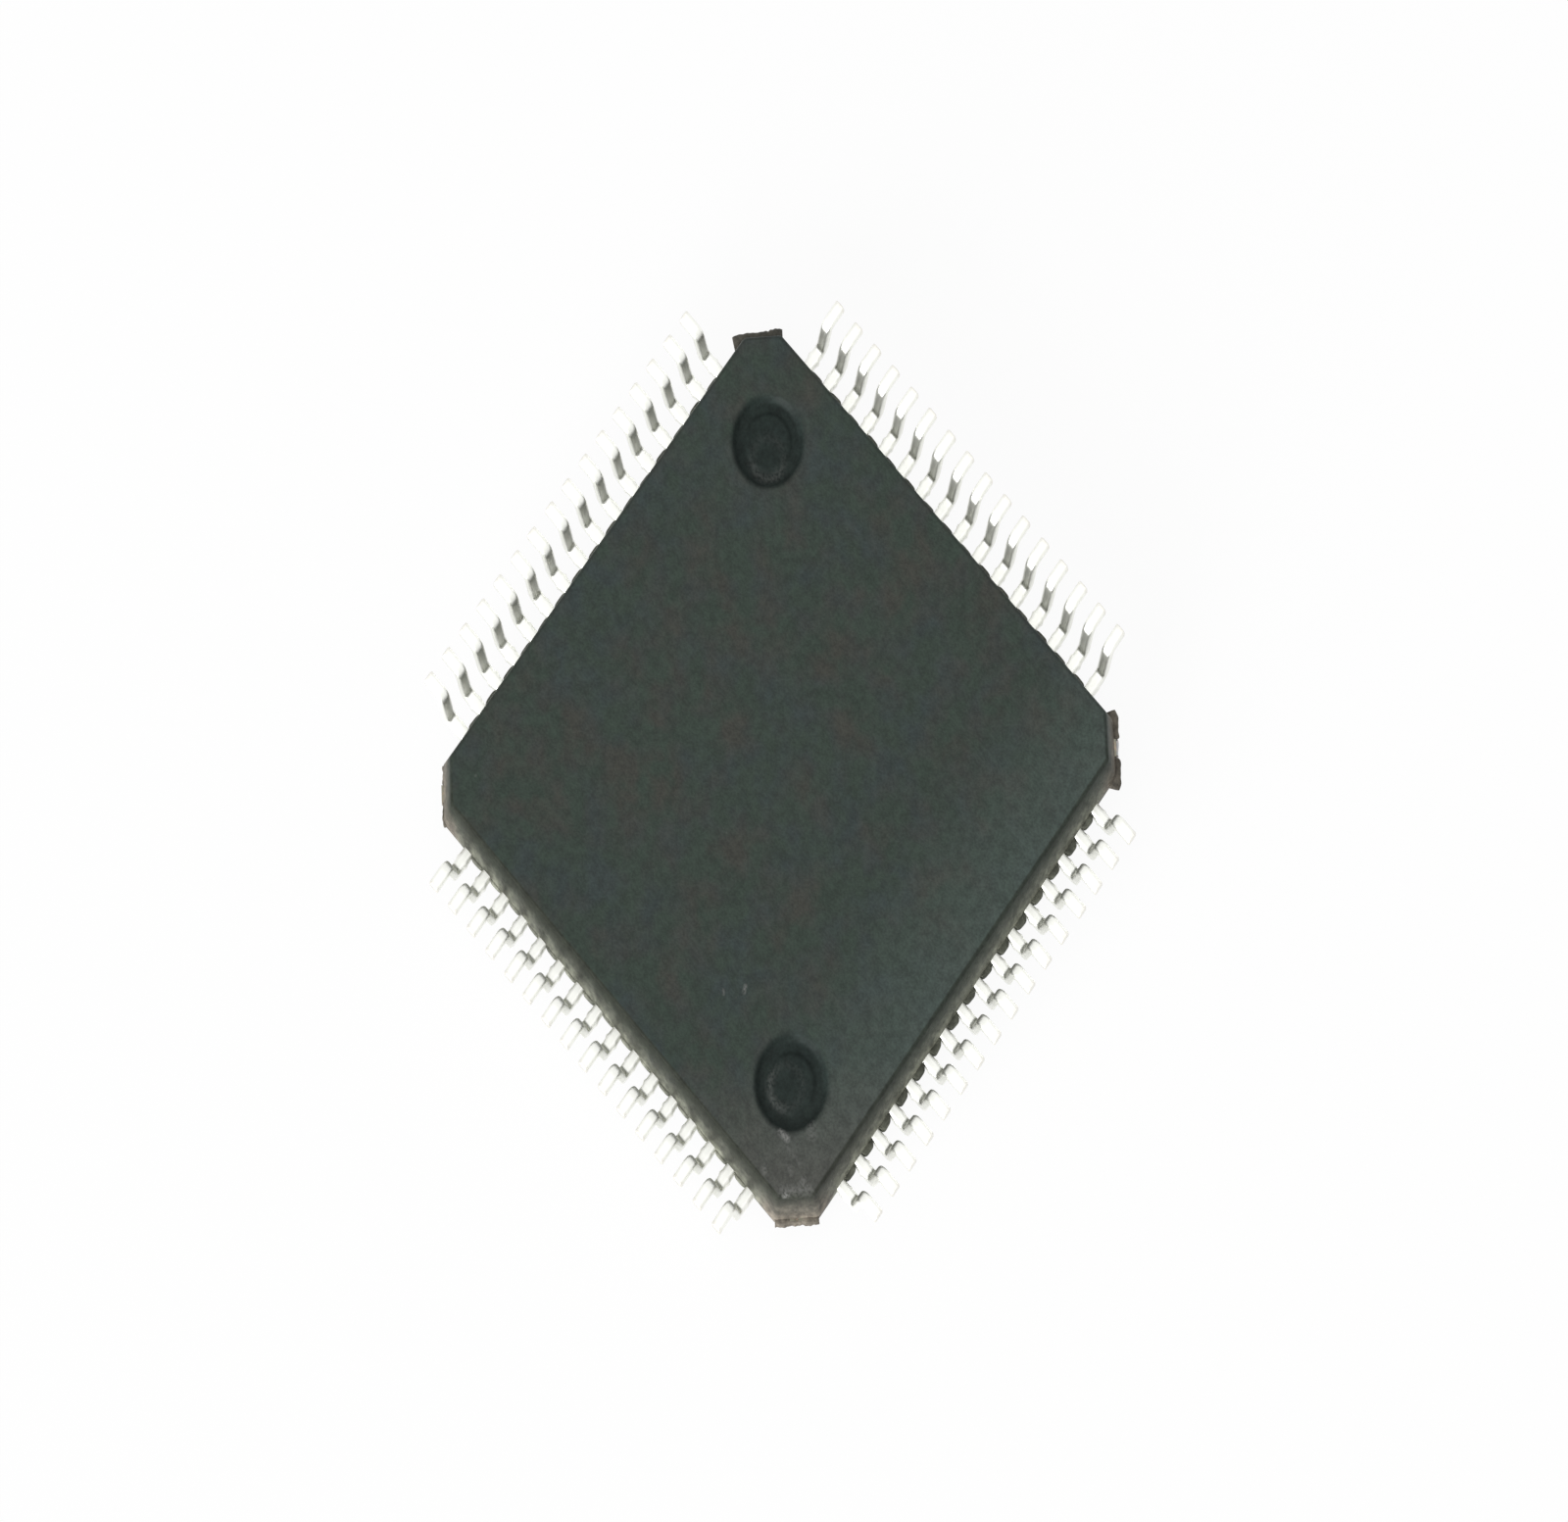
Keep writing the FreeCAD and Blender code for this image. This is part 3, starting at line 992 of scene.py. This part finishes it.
        # painted shade along the edges, weaker on the far sides and the plus sides
        edge = 1 - soft_step(inset, flat_edge - self.edge_shade_width, flat_edge)
        far, plus = self.edge_shade_fade
        edge *= soft_step(height, *self.edge_shade_height) * (1 - far * far_sides - plus * plus_sides)
        upper = points[:, 2] > middle
        floor = np.max([mark.floor_at(plan) for mark in self.marks], axis=0) * upper
        # weight of the raised ring, which also carries its painted highlight
        ring = np.max([mark.ring_at(plan) for mark in self.marks], axis=0) * upper
        return np.column_stack([edge, floor, ring, 1 - soft_step(height, *self.wall_height)])

    def surface(self) -> Surface:
        """The closed skin of the body: underside, wall and top face.

        The wall is the outline as a function of the place round the body and of the inset that
        the wall's section gives at each level. Both faces share their edge points with it. Each
        cell of a face starts at the corner that makes its diagonal run out from the middle.

        Returns:
            The surface.
        """
        lines = self.grid_lines()
        rings = np.array([self.outline(inset, lines) for inset in self.wall[:, 0]])
        plan, lid = self.face_plan(lines, rings[0]), self.face_plan(lines, rings[-1])
        depth = np.sum([mark.depth_at(plan) for mark in self.marks], axis=0)
        underside = np.dstack([plan, self.body_height - depth])
        top_face = np.dstack([lid, self.dimple.depth_at(lid)])
        levels = np.broadcast_to(self.wall[1:-1, 1, None, None], (*rings[1:-1].shape[:2], 1))
        between = np.concatenate([rings[1:-1], levels], axis=2)
        points = np.concatenate([part.reshape(-1, 3) for part in (underside, between, top_face)])
        count = len(lines)
        grid = np.arange(count * count).reshape(count, count)
        edge = np.concatenate([grid[0, :-1], grid[:-1, -1], grid[-1, :0:-1], grid[:0:-1, 0]])
        wall = grid.size + np.arange(between.size // 3).reshape(between.shape[:2])
        lid_start = grid.size + wall.size
        table = np.concatenate([edge[None], wall, edge[None] + lid_start])
        sheet = cells(grid)
        row, column = np.divmod(np.arange(len(sheet)), count - 1)
        crossed = (2 * row < count - 1) != (2 * column < count - 1)
        sheet[crossed] = np.roll(sheet[crossed], 1, axis=1)
        lid_sheet = sheet[:, [0, 3, 2, 1]] + lid_start
        faces = [sheet, cells(table, closed=True)[:, ::-1], lid_sheet]
        return Surface(points, faces, self.zones(points))

    def build(self, material: bpy.types.Material) -> None:
        """Make the body from its finish, and hide the solid that it stands in for."""
        piece = self.surface().piece("moulded_body", material, Slot.MOULD)
        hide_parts("mould_body")


@dataclass(frozen=True)
class CornerFlash:
    """Form of the resin left on one cut corner.

    The reach is how far it stands out of the cut: at its first end, in its middle and at its
    last end. The horns are how far its ends stand out of the sides of the body. The look is its
    weights of painted shade and of wall finish.
    """

    reach: tuple[float, float, float]
    horns: Pair
    look: Pair
    step: float = 0.06

    def profile(self, e: Array, middle: float) -> Array:
        """Reach along the cut: level in the middle and a soft step away on both sides of it.

        Args:
            e: Places along the cut, from its middle.
            middle: Half the length of the level middle.

        Returns:
            The reach at each place.
        """
        first, level, last = self.reach
        ends = np.where(e < 0, first, last)
        return level + (ends - level) * soft_step(np.abs(e), middle, middle + self.step)


@dataclass(kw_only=True)
class MouldFlash(Package):
    """Thin resin left on the rim: plates at the cut corners and tongues between the leads.

    Each side has its tongues' share of the usual reach and their weight of painted shade. Each
    corner belongs to the side before it, counter-clockwise. Each wave in the edge of a corner
    plate has a height, and a rate in radians for half the length of the plate.
    """

    tie_width: float = 0.26
    root_depth: float = 0.06
    round_from: float = 0.72
    taper: float = 0.45
    margin: float = 0.02
    waves: tuple[Pair, Pair] = ((0.007, 11), (0.004, 27))
    horn_droop: float = 0.3
    horn_splay: float = 0.4
    burr_reach: float = 0.085
    burr_share: float = 0.92
    burr_height: float = 0.12
    tongue_reach: float = 0.065
    tongue_slope: float = 0.015
    tongue_root: float = 0.04
    tongue_overlap: float = 0.004
    tongue_lengths: Pair = (0.7, 1.3)
    tongue_heights: Pair = (0.8, 0.95)
    tongue_wall: float = 0.9
    # for each side: the tongues' share of the usual reach, and their weight of painted shade
    tongue_looks: ClassVar[dict[Side, Pair]] = {
        Side.MINUS_Y: (0.6, 0.0),
        Side.PLUS_X: (1.5, 0.55),
        Side.PLUS_Y: (0.65, 0.5),
        Side.MINUS_X: (0.6, 0.5),
    }
    # look of each corner plate: its weight of painted shade and of wall finish
    corners: ClassVar[dict[Side, CornerFlash]] = {
        Side.PLUS_X: CornerFlash((0.11, -0.03, 0.11), (0.20, 0.17), look=(0.3, 1.0)),
        Side.PLUS_Y: CornerFlash((0.18, 0.15, 0.14), (-0.02, 0.19), look=(0.2, 0.5)),
        Side.MINUS_X: CornerFlash((0.015, 0.01, 0.03), (0.01, 0.06), look=(0.2, 1.0)),
        Side.MINUS_Y: CornerFlash((0.095, 0.085, 0.095), (0.0, 0.02), look=(0.08, 1.0)),
    }

    def plate(self, inner: Array, outer: Array, thickness: Array, look: Pair) -> Surface:
        """Plate between an inner line buried in the body and a rounded outer line.

        Its section is a function of the share w from the inner line to the outer one: the half
        thickness is constant and then falls as a quarter circle over the last part.

        Args:
            inner: Points (x, y) of the inner line.
            outer: Points (x, y) of the outer line, as many as the inner one has.
            thickness: Thickness at each of them.
            look: Its weights of painted shade and of wall finish.

        Returns:
            The closed plate.
        """
        angle = np.linspace(0.0, math.pi / 2, 5)
        rounding = self.round_from + (1 - self.round_from) * np.sin(angle)
        w = np.concatenate([[0.0, 0.55], rounding])
        h = np.concatenate([[1.0, 1.0], np.cos(angle)])
        share = np.concatenate([w, w[-2::-1]])
        height = np.concatenate([h, -h[-2::-1]])
        plan = inner[:, None] + share[None, :, None] * (outer - inner)[:, None]
        rise = self.body_height / 2 + thickness[:, None] / 2 * height[None, :]
        points = np.dstack([plan, rise]).reshape(-1, 3)
        index = np.arange(len(points)).reshape(len(inner), -1)
        ends = [points[index[0]].mean(axis=0), points[index[-1]].mean(axis=0)]
        last = len(points)
        caps = np.concatenate([fan(index[0][::-1], last), fan(index[-1], last + 1)])
        everything = np.concatenate([points, ends])
        zones = np.tile([look[0], 0.0, 0.0, look[1]], (len(everything), 1))
        return Surface(everything, [cells(index, closed=True), caps], zones)

    def corner_plate(self, flash: CornerFlash, phase: float) -> Surface:
        """Plate on the (+X, +Y) corner cut, drawn out to a horn past each of its ends.

        In the corner's own frame, e runs along the cut from its middle. The outer line stands the
        flash's reach out of the cut, plus a slow wobble in e, and the inner line follows the cut
        and the sides of the body, a little inside them.

        Args:
            flash: Form of the plate.
            phase: Phase of the wobble of its edge.

        Returns:
            The plate.
        """
        end = self.corner_cut / math.sqrt(2)
        share = np.linspace(-1.0, 1.0, 49)
        e = share * (end + np.where(share < 0, *flash.horns))
        slow, quick = (
            height * np.sin(rate * share + number * phase)
            for number, (height, rate) in enumerate(self.waves, 1)
        )
        out = self.cut_reach + flash.profile(e, self.tie_width / 2 - self.margin) + (slow + quick)
        out -= self.horn_droop * np.maximum(np.abs(e) - end, 0.0) * share**6
        past = np.maximum(np.abs(e) - end + self.margin, 0.0)
        root = self.cut_reach - self.root_depth - past
        inner = np.column_stack([root, e - self.horn_splay * past * np.sign(e)])
        thickness = self.rim_height * (1 - self.taper * share**4)
        plate = self.plate(inner, np.column_stack([out, e]), thickness, flash.look)
        return plate.turned(math.pi / 4)

    def burr(self) -> Surface:
        """Sheared edge of the tie bar that shows in the gap of the first corner's flash.

        Returns:
            The burr, which is a narrow plate on the (+X, +Y) corner cut.
        """
        e = np.linspace(-0.5, 0.5, 9) * self.burr_share * self.tie_width
        inner = np.column_stack([np.full_like(e, self.cut_reach + self.margin), e])
        outer = np.column_stack([self.cut_reach + self.burr_reach + 0.01 * np.sin(20 * e), e])
        thickness = np.full_like(e, self.burr_height)
        return self.plate(inner, outer, thickness, (0.0, 0.0)).turned(math.pi / 4)

    def tongues(self, side: Side, random: np.random.Generator) -> Surface:
        """Tongues of resin between the leads of one side.

        Each tongue's outer line bulges as the root of 1 - a^4, with a the place across the gap,
        so it is nearly straight and rounds off beside the leads.

        Args:
            side: The side of the body.
            random: Source of the small differences between them.

        Returns:
            All the tongues of the side.
        """
        # share of the reach, and weight of painted shade on these tongues
        share, painted_shade = self.tongue_looks[side]
        across = np.linspace(-1.0, 1.0, 13)
        bulge = np.sqrt(np.clip(1 - across**4, 0.02, 1.0))
        breadth = (self.pitch - self.lead_width) / 2 + self.tongue_overlap
        look = painted_shade, self.tongue_wall
        parts = []
        for number in range(1, self.lead_count):
            reach = share * self.tongue_reach * random.uniform(*self.tongue_lengths)
            slope = share * random.uniform(-self.tongue_slope, self.tongue_slope)
            y = (number - self.lead_count / 2) * self.pitch + across * breadth
            x = self.half_width + (reach + slope * across) * bulge
            inner = np.column_stack([np.full_like(y, self.half_width - self.tongue_root), y])
            height = self.rim_height * random.uniform(*self.tongue_heights)
            outer = np.column_stack([x, y])
            parts.append(self.plate(inner, outer, np.full_like(y, height), look))
        return Surface.joined(parts).turned(side.outward)

    def build(self, mould: bpy.types.Material, metal: bpy.types.Material) -> None:
        """Make the corner plates, the tongues and the burr.

        Args:
            mould: Finish of the mould compound.
            metal: Finish of the tie bar's sheared edge.
        """
        random = np.random.default_rng(SEED)
        plates = [
            self.corner_plate(flash, random.uniform(0, 6)).turned(side.outward)
            for side, flash in self.corners.items()
        ]
        tongues = [self.tongues(side, random) for side in Side]
        Surface.joined(plates).piece("corner_flash", mould, Slot.MOULD)
        Surface.joined(tongues).piece("flash_between_leads", mould, Slot.MOULD)
        self.burr().piece("tie_bar_burr", metal, Slot.COPPER)


# --- leads ------------------------------------------------------------------------------------


@dataclass(kw_only=True)
class LeadRow(Package):
    """The leads of one side, each a strip carried along its bent centre line.

    A zone is the stretch over which a finish weight comes in: of the distance before the toe, of
    the distance in from the strip's side, and of the height in its section on its inner face.
    """

    side: Side
    toe: float
    shoulder_level: float
    foot_level: float
    thickness: float = 0.15
    tip: float = 3.05
    root: float = 4.5
    plain_run: float = 0.45
    tip_fan: float = 0.6
    tip_width: float = 0.16
    shoulder_end: float = 5.30
    bend_radius: float = 0.16
    bend_angle: float = 78.0
    angle_spread: float = 0.7
    radius_spread: float = 0.015
    toe_round: float = 0.03
    rolled_radius: float = 0.062
    burr_radius: float = 0.016
    dam_bar: float = 5.17
    dam_bar_width: float = 0.05
    dam_bar_stub: float = 0.018
    stub_spread: float = 0.5
    sideways: float = 0.006
    sideways_run: float = 0.8
    end_sizes: tuple[float, float, float] = (0.9, 0.97, 0.86)
    toe_zone: Pair = (0.075, 0.025)
    sheared_zone: Pair = (0.012, 0.002)
    inner_face: Pair = (0.02, 0.05)
    # place, length and strength by side of the painted shade in the heel
    heel_shade_place: float = 5.49
    heel_shade_length: float = 0.055
    heel_shades: ClassVar[dict[Side, float]] = {Side.PLUS_X: 0.7, Side.MINUS_X: 0.3}

    def section(self) -> Array:
        """Closed section of the strip: rolled corners on one face, sharper ones on the other.

        Returns:
            Points (across, up), counter-clockwise seen against the run of the lead.
        """
        a, b = self.lead_width / 2, self.thickness / 2
        corners = np.array([(0, -b), (a, -b), (a, b), (-a, b), (-a, -b), (0, -b)], float)
        radii = [self.burr_radius, self.rolled_radius, self.rolled_radius, self.burr_radius]
        return rounded_line(corners, radii, 4, 0.008)[:-1]

    def centre_lines(self, random: np.random.Generator) -> list[Array]:
        """Centre line of every lead: straight, bent up, straight, bent back and straight.

        A run of length s and turn a that begins with heading h goes on, after a share t of it,
        by s (sin(h + a t) - sin h) / a outwards and s (cos h - cos(h + a t)) / a upwards.

        Args:
            random: Source of the small differences between leads.

        Returns:
            Distance out, level and heading, each with one row to a lead.
        """
        one_each = (self.lead_count, 1)
        turn = np.radians(self.bend_angle + random.normal(0.0, self.angle_spread, one_each))
        radius = self.bend_radius * (1 + random.normal(0.0, self.radius_spread, one_each))
        rise = self.foot_level - self.shoulder_level
        drop = (rise - 2 * radius * (1 - np.cos(turn))) / np.sin(turn)
        heel = self.shoulder_end + 2 * radius * np.sin(turn) + drop * np.cos(turn)
        none = np.zeros_like(turn)
        runs = [
            (none + self.root - self.tip, none, 3),
            (none + self.plain_run, none, 2),
            (none + self.shoulder_end - self.root - self.plain_run, none, 6),
            (radius * turn, turn, 12),
            (drop, none, 4),
            (radius * turn, -turn, 12),
            (self.toe - self.toe_round - heel, none, 4),
            (none + self.toe_round, none, 3),
        ]
        line = [none + self.tip, none + self.shoulder_level, none]
        for length, bend, steps in runs:
            share = np.linspace(0.0, 1.0, steps + 1)[None, 1:]
            out, level, first = [part[:, -1:] for part in line]
            angle = first + bend * share
            straight = np.abs(bend) < 1e-9
            safe = np.where(straight, 1.0, bend)
            ahead = (np.sin(angle) - np.sin(first)) / safe
            up = (np.cos(first) - np.cos(angle)) / safe
            ahead = np.where(straight, np.cos(first) * share, ahead)
            up = np.where(straight, np.sin(first) * share, up)
            further = out + length * ahead, level + length * up, angle
            line = [np.concatenate(pair, axis=1) for pair in zip(line, further)]
        return line

    def surface(self, random: np.random.Generator) -> Surface:
        """All the leads of the side, as one surface.

        A point is the centre line's point, plus its height in the section along the normal of
        the line, plus its place across the section times the width there.

        Args:
            random: Source of the small differences between leads.

        Returns:
            The surface, on its own side of the body.
        """
        out, level, heading = self.centre_lines(random)
        section, leads, steps = self.section(), self.lead_count, out.shape[1]
        inward = np.clip((self.root - out) / (self.root - self.tip), 0.0, 1.0)
        offset = (np.arange(leads)[:, None] - (leads - 1) / 2) * self.pitch
        lean = random.normal(0.0, self.sideways, (leads, 1))
        middle = offset * (1 - (1 - self.tip_fan) * inward)
        middle = middle + lean * np.clip((out - self.shoulder_end) / self.sideways_run, 0.0, 1.0)
        uneven = random.uniform(-self.stub_spread, self.stub_spread, (leads, 1))
        stub = self.dam_bar_stub * (1 + uneven)
        from_bar = np.abs(out - self.dam_bar)
        at_bar = 1 - soft_step(from_bar, 0.6 * self.dam_bar_width, self.dam_bar_width)
        narrow = 1 - (1 - self.tip_width / self.lead_width) * inward
        broad = narrow + 2 * stub / self.lead_width * at_bar
        ends = np.ones(steps)
        ends[[0, -2, -1]] = self.end_sizes
        across = section[None, None, :, 0] * (broad * ends)[:, :, None]
        height = section[None, None, :, 1] * ends[None, :, None]
        x = out[:, :, None] - height * np.sin(heading)[:, :, None]
        z = level[:, :, None] + height * np.cos(heading)[:, :, None]
        points = np.stack([x, middle[:, :, None] + across, z], axis=-1)
        tips = np.stack([line[:, [0, -1]] for line in (out, middle, level)], axis=-1)
        body = np.arange(leads * steps * len(section)).reshape(leads, steps, len(section))
        caps = body.size + np.arange(2 * leads).reshape(leads, 2)
        quads = [cells(lead, closed=True) for lead in body]
        fans = [fan(lead[0][::-1], cap[0]) for lead, cap in zip(body, caps)]
        fans += [fan(lead[-1], cap[1]) for lead, cap in zip(body, caps)]
        everything = np.concatenate([points.reshape(-1, 3), tips.reshape(-1, 3)])
        zones = self.zones(points, section, random)
        surface = Surface(everything, [np.concatenate(quads), np.concatenate(fans)], zones)
        return surface.turned(self.side.outward)

    def zones(self, points: Array, section: Array, random: np.random.Generator) -> Array:
        """Finish weights: sheared side, cut toe, tone of the lead and painted shade in its heel.

        The painted heel shade is exp(-((x - place) / length)^2) on the face that is turned to
        the body.

        Args:
            points: Points of the leads, by lead, step and place in the section.
            section: Points of the section.
            random: Source of the leads' tones.

        Returns:
            Four weights for each point, then for the two ends of each lead.
        """
        x, side = points[..., 0], np.abs(section[:, 0]) - self.lead_width / 2
        sheared = soft_step(-side, *self.sheared_zone)
        toe = soft_step(self.toe - x, *self.toe_zone)
        tone = random.uniform(0.0, 1.0, self.lead_count)
        # painted shade in the heel, on the face turned to the body
        painted_light_and_wear = np.exp(-(((x - self.heel_shade_place) / self.heel_shade_length) ** 2))
        inside = soft_step(section[:, 1], *self.inner_face)
        heel_shade = self.heel_shades.get(self.side, 0.0) * painted_light_and_wear * inside
        weights = np.broadcast_arrays(sheared, toe, tone[:, None, None], heel_shade)
        ends = np.zeros((self.lead_count, 2, 4))
        ends[:, 1, 1] = 1.0
        ends[:, :, 2] = tone[:, None]
        return np.concatenate([np.stack(weights, axis=-1).reshape(-1, 4), ends.reshape(-1, 4)])

    def build(self, material: bpy.types.Material) -> None:
        """Make the row from the finish of its leads, and hide the solids that it stands in for.

        Args:
            material: Finish of the leads.
        """
        random = np.random.default_rng([SEED, self.side.value[1]])
        piece = self.surface(random).piece("formed_" + self.side.node, material, Slot.TIN)
        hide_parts(self.side.node)


# --- pieces inside ----------------------------------------------------------------------------


@dataclass(frozen=True)
class InnerPiece:
    """A solid sealed in the body, which keeps its shape and gets a finish."""

    node: str
    finish: Finish

    def dress(self) -> None:
        """Give the solid its finish, in place of its plain one."""
        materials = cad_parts[self.node].data.materials
        materials.clear()
        materials.append(self.finish.material("finish_of_" + self.node))
        LOG.info("%s: dressed", self.node)


def inner_pieces() -> list[InnerPiece]:
    """The die pad, adhesive, die and bond wires.

    Returns:
        Each of them with its finish.
    """
    inside = {"die_pad": CopperFinish(), "die_adhesive": AdhesiveFinish()}
    inside["silicon_die"] = SiliconFinish()
    inside |= {side.node.replace("leads", "bond_wires"): WireFinish() for side in Side}
    return [InnerPiece(node, finish) for node, finish in inside.items()]


# --- studio -----------------------------------------------------------------------------------


def direction(azimuth: float, elevation: float) -> Vector:
    """Direction out of the chip, at an azimuth from -Y towards +X and an elevation in degrees."""
    a, e = math.radians(azimuth), math.radians(elevation)
    return Vector((math.sin(a) * math.cos(e), -math.cos(a) * math.cos(e), math.sin(e)))


@dataclass(frozen=True)
class Softbox:
    """Square white lamp that looks at the chip from a direction and a distance in metres."""

    azimuth: float
    elevation: float
    size: float
    power: float
    distance: float = 0.6

    def place(self, name: str) -> None:
        """Hang the lamp.

        Args:
            name: Name of the lamp.
        """
        lamp = bpy.data.lights.new(name, "AREA")
        lamp.shape = "SQUARE"
        lamp.size = self.size
        lamp.energy = self.power
        holder = linked(name, lamp)
        out = direction(self.azimuth, self.elevation)
        holder.location = out * self.distance
        holder.rotation_euler = out.to_track_quat("Z", "Y").to_euler()


@dataclass(frozen=True)
class ViewCamera:
    """Long-lens view camera whose back is tilted, which draws the chip taller than it is wide."""

    azimuth: float = 43.27
    elevation: float = 73.0
    roll: float = -1.22
    distance: float = 0.4129
    lens: float = 479.0
    back_tilt: float = 43.04
    aim: tuple[float, float, float] = (0.018, 0.122, 1.0)

    def place(self) -> None:
        """Set the camera up on an arm that carries the tilt of its back.

        The frame of a plain camera has the axes right, up and back. Here the up axis leans
        towards the back axis by the tilt, which stretches the picture upwards.
        """
        back = direction(self.azimuth, self.elevation)
        level = Vector((0.0, 0.0, 1.0)).cross(back).normalized()
        upright = back.cross(level)
        turn, tilt = math.radians(self.roll), math.radians(self.back_tilt)
        right = level * math.cos(turn) + upright * math.sin(turn)
        up = upright * math.cos(turn) - level * math.sin(turn)
        leaning = up * math.cos(tilt) + back * math.sin(tilt)
        axes = Matrix((right, leaning, back)).transposed().to_4x4()
        camera = bpy.data.cameras.new("view_camera")
        camera.sensor_width = 36.0
        camera.lens = self.lens
        camera.clip_start = 0.01
        camera.clip_end = 10.0
        holder = linked("view_camera", camera)
        holder.parent = linked("camera_arm", None)
        spot = Vector(self.aim) * MM + back * self.distance
        holder.matrix_parent_inverse = Matrix.Translation(spot) @ axes
        bpy.context.scene.camera = holder


@dataclass(frozen=True)
class Studio:
    """White table, two soft lamps, a pale room and the camera."""

    table_size: float = 6.0
    fill: float = 0.45
    key: Softbox = Softbox(azimuth=20, elevation=77, size=0.4, power=0.54)
    low_front: Softbox = Softbox(azimuth=4, elevation=16, size=0.3, power=4.7)

    def lay_table(self) -> None:
        """Lay the floor that the chip lies on."""
        half = self.table_size / 2
        corners = [(-half, -half, 0), (half, -half, 0), (half, half, 0), (-half, half, 0)]
        mesh = bpy.data.meshes.new("table")
        mesh.from_pydata(corners, [], [(0, 1, 2, 3)])
        mesh.materials.append(FloorFinish().material("white_table"))
        table = linked("table", mesh)

    def light_room(self) -> None:
        """Light the chip from above and from low in front, in a room that is seen as white."""
        world = bpy.data.worlds.new("room")
        world.use_nodes = True
        board = NodeBoard(world.node_tree)
        strength = board.spread(board.background_rays(), (0.0, 1.0), (self.fill, 1.0))
        room = board.add("Background", {"Color": WHITE, "Strength": strength})
        board.add("OutputWorld", {0: room.outputs[0]})
        bpy.context.scene.world = world
        self.key.place("key")
        self.low_front.place("low_front")

    def build(self) -> None:
        """Set up the whole studio."""
        self.lay_table()
        self.light_room()
        ViewCamera().place()
        bpy.context.scene.view_settings.view_transform = "Standard"
        LOG.info("studio: ready")


def main() -> None:
    """Build every piece in order, then the studio."""
    logging.basicConfig(level=logging.INFO, format="%(message)s")
    mould = MouldFinish().material("mould_compound_matt")
    tin = TinFinish().material("tin_plating_matt")
    burr = CopperFinish(tinned=(0.36, 0.37, 0.38)).material("sheared_tie_bar")
    MouldedBody().build(mould)
    MouldFlash().build(mould, burr)
    strip = LeadRow.thickness / 2
    for side in Side:
        low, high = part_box(side.node)
        LeadRow(
            side=side,
            toe=max(abs(value) for corner in (low, high) for value in corner[:2]) / MM,
            shoulder_level=low.z / MM + strip,
            foot_level=high.z / MM - strip,
        ).build(tin)
    for piece in inner_pieces():
        piece.dress()
    Studio().build()


if __name__ == "__main__":
    main()
